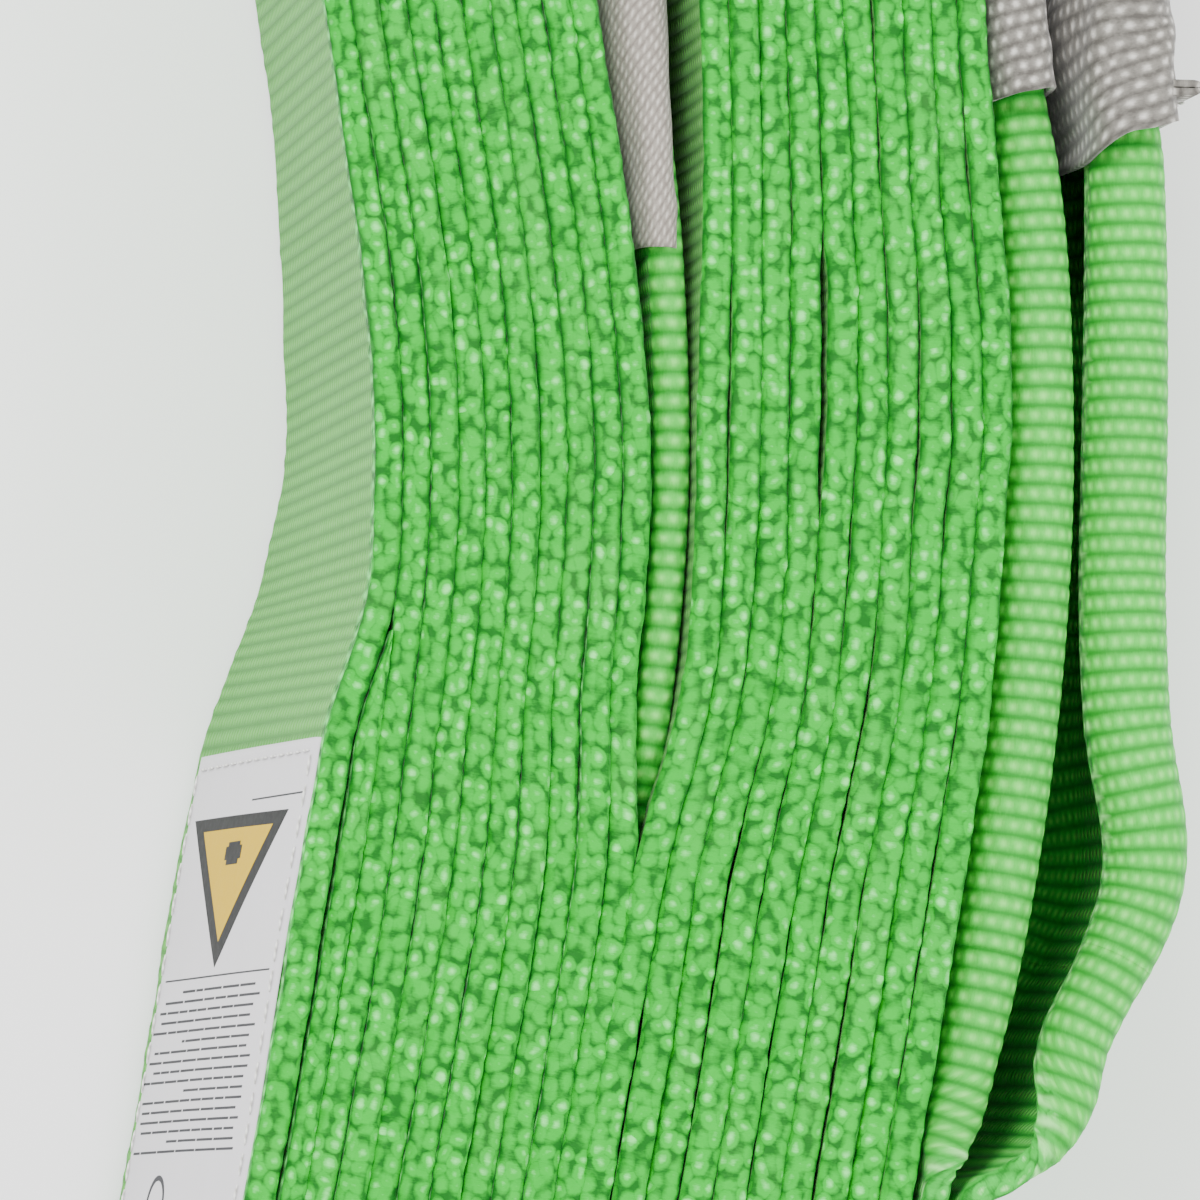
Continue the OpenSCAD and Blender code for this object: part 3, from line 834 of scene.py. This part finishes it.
def sock(name, line, s, a_half, z_low, z_high, power, wrinkle, wall, material, hems, seed, around):
    """A woven tube round a leg: outer surface, then the inner one, joined at both hems.
    hems gives how far each hem runs past its end, round the tube."""
    phi = np.linspace(0, 2 * math.pi, around, endpoint=False)
    c, sn = np.cos(phi), np.sin(phi)
    S, F = np.meshgrid(s, phi, indexing="ij")
    r = np.random.default_rng(seed)
    d = np.zeros_like(S)
    for _ in range(14):
        fs = 2 * math.pi / r.uniform(9, 45)
        fp = r.integers(-7, 8)
        d += r.uniform(0.3, 1) * np.sin(fs * S + fp * F + r.uniform(0, 7))
    d = d / 3.2 * wrinkle[:, None]
    from_start, from_end = (s - s[0])[:, None], (s[-1] - s)[:, None]
    first_hem, last_hem = (h[None, :] for h in hems(phi))
    along = (np.clip(1 - from_end / HEM_REACH, 0, 1) * last_hem
             - np.clip(1 - from_start / HEM_REACH, 0, 1) * first_hem)
    ridge = 0.35 * (np.exp(-((from_start - HEM_RIDGE) / 1.6) ** 2)
                    + np.exp(-((from_end - HEM_RIDGE) / 1.6) ** 2))

    def surface(inset, extra):
        a = (a_half - inset)[:, None] * (np.sign(c) * np.abs(c) ** (2 / power))
        z = ((z_low + z_high) / 2)[:, None] \
            + ((z_high - z_low) / 2 - inset)[:, None] * (np.sign(sn) * np.abs(sn) ** (2 / power))
        return rings_along(line, a + (d + extra) * c, z + (d + extra) * sn, along)

    outside = surface(0.0, ridge)
    # one closed surface: up the outside, round the far hem, back down the inside
    P = np.concatenate([outside, surface(wall, 0.0)[::-1]])
    round_it = length_along(np.concatenate([outside[len(s) // 2], outside[len(s) // 2][:1]]))
    there_and_back = np.concatenate([s, s[::-1]])
    uv = grid_uv(there_and_back, np.roll(there_and_back, -1), round_it[:-1], round_it[1:])
    obj = mesh_object(name, P, [(grid_quads(len(P), around, True), True)], material, uv)
    return obj, round_it[-1]


y = np.linspace(SLEEVE_IN, 143.5, 300)
line, (y,), s = resampled(bowed(np.stack([0 * y - 0.1, y], 1)), [y], SLEEVE_STEP)
tip = np.sqrt(np.clip(1 - ((y - 137.5) / 6.3).clip(0) ** 2, 0.02, 1))
inner_sleeve, round_it = sock(
    "inner_eye_sleeve_tube", line, s, (3.35 + 2.6 * ease(43, 95, y)) * tip,
    2.0 + 5 * ease(45, 80, y), 58.6 - 1.2 * ease(45, 80, y) - 4 * (1 - tip), 3.4,
    0.15 + 0.12 * ease(43, 80, y), 0.5, FINE_SLEEVE,
    lambda phi: (0.6 + 0.5 * np.cos(phi), 0 * phi), 61, 110)
belongs(inner_sleeve, "bundle", "inner_eye_sleeve")

# ---------------------------------------------------------------------------
# The outer eye: up leg A from its root, over the tip and down leg B, as X, Y and
# the thickness of the folded webbing, measured from the middle of the root
# ---------------------------------------------------------------------------
ROUTE = np.array([
    [-1.6, 0, 3.1], [-0.5, 12, 5.4], [0.4, 26, 6.8], [0.9, 50, 7.6], [0.9, 90, 7.6],
    [1.2, 115, 7.0], [1.8, 131, 6.3], [2.0, 158, 6.0], [2.3, 182, 6.0], [2.8, 195, 6.0],
    [3.8, 207, 6.0], [6.8, 217.5, 6.0], [14.3, 223, 6.0], [21.6, 217.5, 6.0],
    [24.4, 207, 6.0], [24.2, 195, 6.0], [22.5, 180, 6.0], [17.0, 160, 6.0], [12.4, 144, 6.0],
    [12.9, 131, 6.3], [12.0, 115, 7.0], [11.0, 95, 7.6], [11.0, 76, 7.8], [13.0, 59, 8.4],
    [16.0, 40, 8.6], [13.4, 21, 6.0], [7.8, 8.5, 4.0], [1.6, 0, 3.1]])
TIP = 13.0           # the route's number at the tip: past it is leg B
LEAD = 6             # points left out at each end, where the eye joins the plies
# where the eye's section has its points, outside and inside: fine where it rolls over
U_EYE = np.concatenate([np.arange(1.5, 30, 1.9), np.arange(31, 59, 0.62)])
U_EYE_IN = np.concatenate([np.arange(1.5, 30, 3.8), np.arange(31, 59, 1.24)])


def spline(pts, n=24):
    """Catmull-Rom through the points, with straight continuations at the ends, and the
    number of the point that each place on it is past."""
    p = np.concatenate([[2 * pts[0] - pts[1]], pts, [2 * pts[-1] - pts[-2]]])
    u = np.linspace(0, 1, n, endpoint=False)[:, None]
    out = [0.5 * (2 * b + (c - a) * u + (2 * a - 5 * b + 4 * c - d) * u ** 2
                  + (3 * b - a - 3 * c + d) * u ** 3)
           for a, b, c, d in zip(p, p[1:], p[2:], p[3:])]
    return np.concatenate(out + [pts[-1:]]), np.arange((len(pts) - 1) * n + 1) / n


route, mark = spline(ROUTE)
foot = np.array([float(right_x(LAPS + 1, ROOT_OUT)), ROOT_OUT])
# from the outer ply up leg B, over the tip, down leg A and into the inner ply
eye = np.column_stack([bowed(route[:, :2] + foot), route[:, 2], mark])[::-1][LEAD:-LEAD]
lead = outer["line"][outer["tail_end"]:][:-LEAD]
trail = inner["line"][inner["tail_end"]:][::-1][LEAD:]
whole = np.concatenate([
    np.column_stack([lead, np.tile([PLY, len(ROUTE) - 0.5], (len(lead), 1))]), eye,
    np.column_stack([trail, np.tile([PLY, -0.5], (len(trail), 1))])])
# round off the join between the ply and the eye's own line
line, (T_eye, m_eye), s_eye = resampled(smoothed(whole[:, :2], 40), [whole[:, 2], whole[:, 3]])
line = smoothed(line, 30)
s_eye = s_eye + outer["s"][outer["tail_end"]]
above = line[:, 1] - ROOT_OUT
is_b = ease(TIP, TIP + 2, m_eye)
# Leg B stands further out than its solid, and is a little thicker. Leg A is close by the roll.
stout = is_b * ease(2, 32, above) * ease(175, 150, above)
belly = is_b * ease(0, 4, above) * (2.4 * np.exp(-((above - 40) / 12) ** 2)
                                    + 3.6 * np.exp(-((above - 9.5) / 8) ** 2))
beside = ease(TIP, TIP - 2, m_eye) * ease(0, 16, above) * ease(150, 110, above)
line = line + outward(line) * (2.5 * stout + belly - 1.5 * beside)[:, None]
# Both legs stay folded nearly down to their root.
at_foot = ease(60, 40, above) * (is_b * 9.4 * ease(2, 16, above)
                                 + (1 - is_b) * 6.8 * ease(-1, 12, above))
T_eye = np.maximum(T_eye + 2.6 * stout + 1.2 * beside, at_foot)
folded = is_b * ease(1, 22, above) + (1 - is_b) * ease(-2, 18, above)
t_eye = PLY - 0.45 * folded
swept = dict(
    radius=np.maximum((T_eye - t_eye) / 2, 1.25), roll=folded * (WEB - 42 + T_eye) / 2,
    thick=t_eye, edge=t_eye + 0.3 * (1 - folded),
    z_mid=WEB / 2 + (5.6 - 1.8 * ease(124, 134, above)) * folded,
    # leg B leans: its lower edge lies nearer the roll where it bulges out
    lean=-6.0 * is_b * ease(2, 14, above) * ease(80, 28, above), lift=0.22 * np.sin(m_eye * 0.9))


def eye_piece(name, i0, i1):
    cut = slice(i0, i1 + 1)
    obj = sweep(name, line[cut], s_eye[cut], u_out=U_EYE, u_in=U_EYE_IN, seed=71, fine=True,
                rib_h=0.14, pick=EYE_PICK, material=EYE_GREEN,
                **{key: values[cut] for key, values in swept.items()})
    return obj


FOOT_TOP, LEG_TOP = 30, 150      # how far above the root the feet and the legs end
end = len(above) - 1
up_b, over_b = first(above > FOOT_TOP), first(above > LEG_TOP)
down_a, over_a = end - first(above[::-1] > FOOT_TOP), end - first(above[::-1] > LEG_TOP)
for name, i0, i1 in (("eye_leg_outer", up_b, over_b), ("eye_tip", over_b, over_a),
                     ("eye_leg_inner", over_a, down_a)):
    obj = eye_piece(name, i0, i1)
    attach(obj, "outer_eye")
    if name == "eye_leg_outer":
        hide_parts("outer_eye_webbing")
root_x = float(foot[0] + bow(ROOT_OUT))
row = row_frame([[root_x, ROOT_OUT - 12, WEB / 2], [root_x, ROOT_OUT + 12, WEB / 2]])
for name, i0, i1 in (("eye_foot_outer", 0, up_b), ("eye_foot_inner", down_a, end)):
    obj = eye_piece(name, i0, i1)
    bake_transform(obj)

# Its wear sleeve, from the hem on leg A over the tip to the hem on leg B: close on
# leg A, loose and wrinkled on leg B.
covered = above >= np.where(m_eye > TIP, 128.1, 133.1)
sl_line, (m_sl,), sl_s = resampled(line[covered], [m_eye[covered]], SLEEVE_STEP)
loose = ease(14, 18.4, m_sl)
a_half = 4.4 + 2.4 * loose + 0.3 * ease(8, 6.3, m_sl)
sl_line = sl_line + outward(sl_line) * (0.6 * loose)[:, None]
outer_sleeve, round_it = sock(
    "outer_eye_sleeve_tube", sl_line, sl_s, a_half, 11.4 + 0 * m_sl, 58.8 + 0.6 * loose,
    3.8, 0.25 + 0.55 * loose, 0.8, SLEEVE,
    # the hem on leg B runs lower on its inner side, the one on leg A is square
    lambda phi: (-2.7 * np.cos(phi) + 0.4 * np.sin(3 * phi), 0.3 * np.sin(2 * phi)), 62, 128)
belongs(outer_sleeve, "outer_eye", "outer_eye_sleeve")

# ---------------------------------------------------------------------------
# The label on the last lap, its print and its threads. On the label, v is the way
# down from its top edge and z the way up its width, in millimetres.
# ---------------------------------------------------------------------------
LABEL_Y, LABEL_LEN, LABEL_EDGE = -17.0, 79.0, 2.5
TOP = 0.5            # the tape's thickness
OVER_FACE = 1.62 + PLY / 2       # from the last lap's middle to its outer ply's face
face_mid = lap(left_x, LAPS, LABEL_Y + 6, LABEL_Y - LABEL_LEN - 8)
face_s = length_along(face_mid) - 6.0
face_y = face_mid[:, 1]
face_line = bowed(face_mid + outward(face_mid) * (bulge(face_y) + OVER_FACE)[:, None])
face_columns = [*face_line.T, *outward(face_line).T, low_lean(face_y), closing(face_y, LAPS - 0.5)]


def on_label(v, z, lift):
    """A point on the label, lift over its underside."""
    v, z, lift = np.broadcast_arrays(np.asarray(v, float), np.asarray(z, float), lift)
    x, y, nx, ny, lean, close = (np.interp(v, face_s, column) for column in face_columns)
    off = lean * (1 - z / WEB) + close * top_share(z / WEB) + 0.16 + lift
    # the tape lies in slow waves over the ribs
    off = off + 0.12 * np.sin(v / 7.0 + 1.0) * np.sin(z / 13.0)
    return np.stack([x + nx * off, y + ny * off, z], -1)


v = np.linspace(0, LABEL_LEN, 100)
z = np.linspace(LABEL_EDGE, WEB - LABEL_EDGE, 70)
top_lift = TOP - 0.35 * np.exp(-np.minimum(z - LABEL_EDGE, WEB - LABEL_EDGE - z) / 0.7)
P = np.concatenate([on_label(v[:, None], z[None, ::-1], top_lift[None, ::-1]),
                    on_label(v[:, None], z[None, :], 0.0)], 1)
label = tube("label_tape_piece", P, v, np.concatenate([z, WEB + z]), 2 * WEB + 2, TAPE)
belongs(label, "bundle", "label")


def patch(pieces, corners, lift=TOP, cells=1):
    """Adds a thin printed patch with three or four corners, as its top and its underside."""
    c = np.array(list(corners) + list(corners[2:3]) * (4 - len(corners)), float)
    U, W = np.meshgrid(*[np.linspace(0, 1, cells + 1)] * 2, indexing="ij")
    at = (c[0] * ((1 - U) * (1 - W))[..., None] + c[1] * ((1 - U) * W)[..., None]
          + c[2] * (U * W)[..., None] + c[3] * (U * (1 - W))[..., None])
    pieces.append([on_label(at[..., 0], at[..., 1], lift + h) for h in (0.03, 0)])


def box(v0, v1, z0, z1):
    return [(v0, z0), (v0, z1), (v1, z1), (v1, z0)]


def print_mesh(name, pieces, material):
    """All the patches of one ink as one mesh: each has a top, an underside and a rim."""
    co, faces = [], []
    for top, low in pieces:
        n, m = top.shape[:2]
        base, k = sum(map(len, co)), n * m
        co += [top.reshape(-1, 3), low.reshape(-1, 3)]
        for i in range(n - 1):
            for j in range(base + i * m, base + i * m + m - 1):
                q = [j, j + 1, j + 1 + m, j + m]
                faces += [q, [p + k for p in q[::-1]]]
        rim = ([(0, j) for j in range(m)] + [(i, m - 1) for i in range(1, n)]
               + [(n - 1, j) for j in range(m - 2, -1, -1)]
               + [(i, 0) for i in range(n - 2, 0, -1)])
        ids = [base + i * m + j for i, j in rim]
        faces += [[q, p, p + k, q + k] for p, q in zip(ids, ids[1:] + ids[:1])]
    return mesh_object(name, np.concatenate(co), [(np.array(faces), False)], material)


def dashes(pieces, r, v0, z0, stop, height, long, gap):
    """A row of dashes in place of print, from z0 down to stop."""
    while z0 > stop:
        z1 = max(z0 - r.uniform(*long), stop - 1)
        patch(pieces, box(v0, v0 + height, z1, z0))
        z0 = z1 - r.uniform(*gap)


dark, grey, yellow = [], [], []
# a plain triangle with a dark border and a mark in it
triangle = np.array([(7.8, 7.0), (8.2, 50.0), (26.0, 28.5)])
patch(dark, triangle, cells=12)
patch(yellow, triangle.mean(0) + (triangle - triangle.mean(0)) * 0.74, TOP + 0.035, cells=12)
patch(dark, box(11.2, 13.9, 26.2, 31.4), TOP + 0.07, cells=3)
patch(dark, box(11.7, 13.3, 25.2, 32.4), TOP + 0.07, cells=3)
# rules, and rows of dashes
patch(grey, box(6.3, 6.5, 33.0, 55.0), cells=4)
patch(grey, box(26.9, 27.1, 6.0, 54.0), cells=8)
r = np.random.default_rng(9)
for k in range(17):
    start = 51.5 - r.uniform(0, 3.0)
    stop = r.uniform(4.5, 9.0) if k % 5 else r.uniform(12, 26)
    dashes(grey, r, 28.4 + 1.22 * k, start, stop, 0.30, (3.0, 9.0), (0.4, 0.7))
# a ring
SIDES = 28
for a in np.arange(SIDES) * 2 * math.pi / SIDES:
    b = a + 2 * math.pi / SIDES
    patch(grey, [(54.5 + 3.6 * math.cos(t) * f, 20 + 4.2 * math.sin(t) * f)
                 for t, f in ((a, 1), (b, 1), (b, 0.82), (a, 0.82))])
for k in range(9):
    start = 52.0 - r.uniform(0, 3)
    dashes(grey, r, 62.0 + 1.5 * k, start, r.uniform(5, 22), 0.5, (1.8, 6.0), (0.6, 1.0))
for name, pieces, material in (("label_print_dark", dark, INK_DARK),
                               ("label_print_yellow", yellow, YELLOW),
                               ("label_print_rows", grey, INK)):
    print_mesh(name, pieces, material).parent = label


# ---------------------------------------------------------------------------
# Stitches: short bent lengths of thread
# ---------------------------------------------------------------------------
def stitches(name, pairs, radius, material, arch=0.15):
    """Each pair is (start, end, outward direction), in the plan's millimetres."""
    sides, rings = 8, 7
    t = np.linspace(0, 1, rings)[:, None, None]
    angle = np.arange(sides)[None, :, None] * 2 * math.pi / sides
    rr = radius * np.sin(math.pi * (0.08 + 0.84 * t)) ** 0.5
    quads = grid_quads(rings, sides)[:, ::-1]
    co, walls, caps = [], [], []
    for k, (a, b, out) in enumerate(pairs):
        a, b, out = (np.array(v, float) for v in (a, b, out))
        out /= np.linalg.norm(out)
        beside = np.cross((b - a) / np.linalg.norm(b - a), out)
        co.append(a + (b - a) * t + out * (arch * np.sin(math.pi * t))
                  + rr * (beside * np.cos(angle) + out * np.sin(angle)))
        base = k * rings * sides
        walls.append(quads + base)
        caps += [np.arange(sides) + base,
                 np.arange(sides)[::-1] + base + (rings - 1) * sides]
    return mesh_object(name, np.array(co),
                       [(np.concatenate(walls), True), (np.array(caps), True)], material)


STITCH, NEXT = 2.6, 3.6          # a stitch, and from one to the next
pairs = []
for v0, z0, dv, dz in (
        [(v0, z0, STITCH, 0) for v0 in np.arange(2.0, LABEL_LEN - 4.0, NEXT)
         for z0 in (LABEL_EDGE + 1.6, WEB - LABEL_EDGE - 1.6)]
        + [(v0, z0, 0, STITCH) for v0 in (1.5, LABEL_LEN - 1.5)
           for z0 in np.arange(LABEL_EDGE + 3, WEB - LABEL_EDGE - 4, NEXT)]):
    nx, ny = (np.interp(v0, face_s, column) for column in face_columns[2:4])
    pairs.append((on_label(v0, z0, TOP + 0.12), on_label(v0 + dv, z0 + dz, TOP + 0.12),
                  (nx, ny, 0)))
belongs(stitches("label_stitches", pairs, 0.15, WHITE_THREAD, arch=0.05),
        "bundle", "label_stitching")


def seam_rows(start, stop):
    """Four rows of stitches on the outer ply's face, from start to stop mm along it."""
    line, s = outer["line"], outer["s"]
    columns = [*(line + outward(line) * (PLY / 2 + 0.2)).T, *outward(line).T]
    out = []
    for z0 in (12, 24, 36, 48):
        for q in np.arange(start, stop, 6.0):
            (xa, ya, _, _), (xb, yb, nx, ny) = (
                [np.interp(v, s, column) for column in columns] for v in (q, q + 4.0))
            out.append(((xa, ya, z0), (xb, yb, z0), (nx, ny, 0)))
    return out


# through the sewn body behind each eye
belongs(stitches("inner_eye_stitches", seam_rows(2.0, 22.0), 0.3, GREEN_THREAD),
        "bundle", "inner_eye_seam")
eye_s = outer["s"][outer["tail_end"]]
belongs(stitches("outer_eye_stitches", seam_rows(eye_s - 105, eye_s - 2), 0.3, GREEN_THREAD),
        "tail", "outer_eye_seam")

# along the hem of the sleeve on leg B
hem_out = outward(sl_line)
at, n = sl_line[5] + hem_out[5] * (a_half[5] + 0.45), (*hem_out[5], 0)
pairs = [((*at, z0), (*at, z0 + 2.1), n) for z0 in np.arange(11, 51, 2.9)]
belongs(stitches("sleeve_hem_stitches", pairs, 0.25, WHITE_THREAD),
        "outer_eye", "sleeve_hem_stitching")

# The corner of that hem is a small loop of the sleeve's edge, folded on itself.
HEM_LOOP_LOW, HEM_LOOP_HIGH, HEM_LOOP_HALF = 48.0, 58.2, 0.42
at = sl_line[6] + hem_out[6] * (a_half[6] - 0.5) + [0.2, 0]
arc = np.radians(np.linspace(-90, 90, 21))
reach = np.linspace(-4.0, 0, 9)[:-1]
bend = at + np.concatenate([np.stack([reach, -0.5 + 0 * reach], 1),
                            np.stack([np.cos(arc), 0.5 * np.sin(arc)], 1),
                            np.stack([reach[::-1], 0.5 + 0 * reach], 1)])
bend_s = length_along(bend)
section = np.array([(HEM_LOOP_HALF, HEM_LOOP_LOW), (HEM_LOOP_HALF, HEM_LOOP_HIGH),
                    (-HEM_LOOP_HALF, HEM_LOOP_HIGH), (-HEM_LOOP_HALF, HEM_LOOP_LOW)])
tab = tube("sleeve_hem_loop", rings_along(bend, section[None, :, 0], section[None, :, 1]), bend_s,
           np.array([0.0, 10.2, 10.8, 21.0]), 21.6, SLEEVE)
belongs(tab, "outer_eye", "sleeve_hem_tab")

# ---------------------------------------------------------------------------
# Floor and light
# ---------------------------------------------------------------------------
floor = bpy.data.objects.new("floor", bpy.data.meshes.new("floor"))
floor.data.from_pydata([(-3, -3, 0), (3, -3, 0), (3, 3, 0), (-3, 3, 0)], [], [(0, 1, 2, 3)])
bpy.context.scene.collection.objects.link(floor)
floor.data.materials.append(floor_material("pale_floor"))

world = bpy.data.worlds.new("studio")
world.use_nodes = True
world.node_tree.nodes["Background"].inputs[0].default_value = (1.0, 1.0, 1.0, 1)
world.node_tree.nodes["Background"].inputs[1].default_value = 1.85
bpy.context.scene.world = world


def area_light(name, at, size, watts, look=(0, 0, 0.03)):
    data = bpy.data.lights.new(name, "AREA")
    data.size = size
    data.energy = watts
    obj = bpy.data.objects.new(name, data)
    obj.location = at
    obj.rotation_euler = (Vector(look) - Vector(at)).to_track_quat("-Z", "Y").to_euler()
    bpy.context.scene.collection.objects.link(obj)


area_light("key", (-0.55, 0.75, 1.25), 0.5, 31.0)
area_light("fill", (0.9, -0.5, 1.0), 0.9, 16.0)
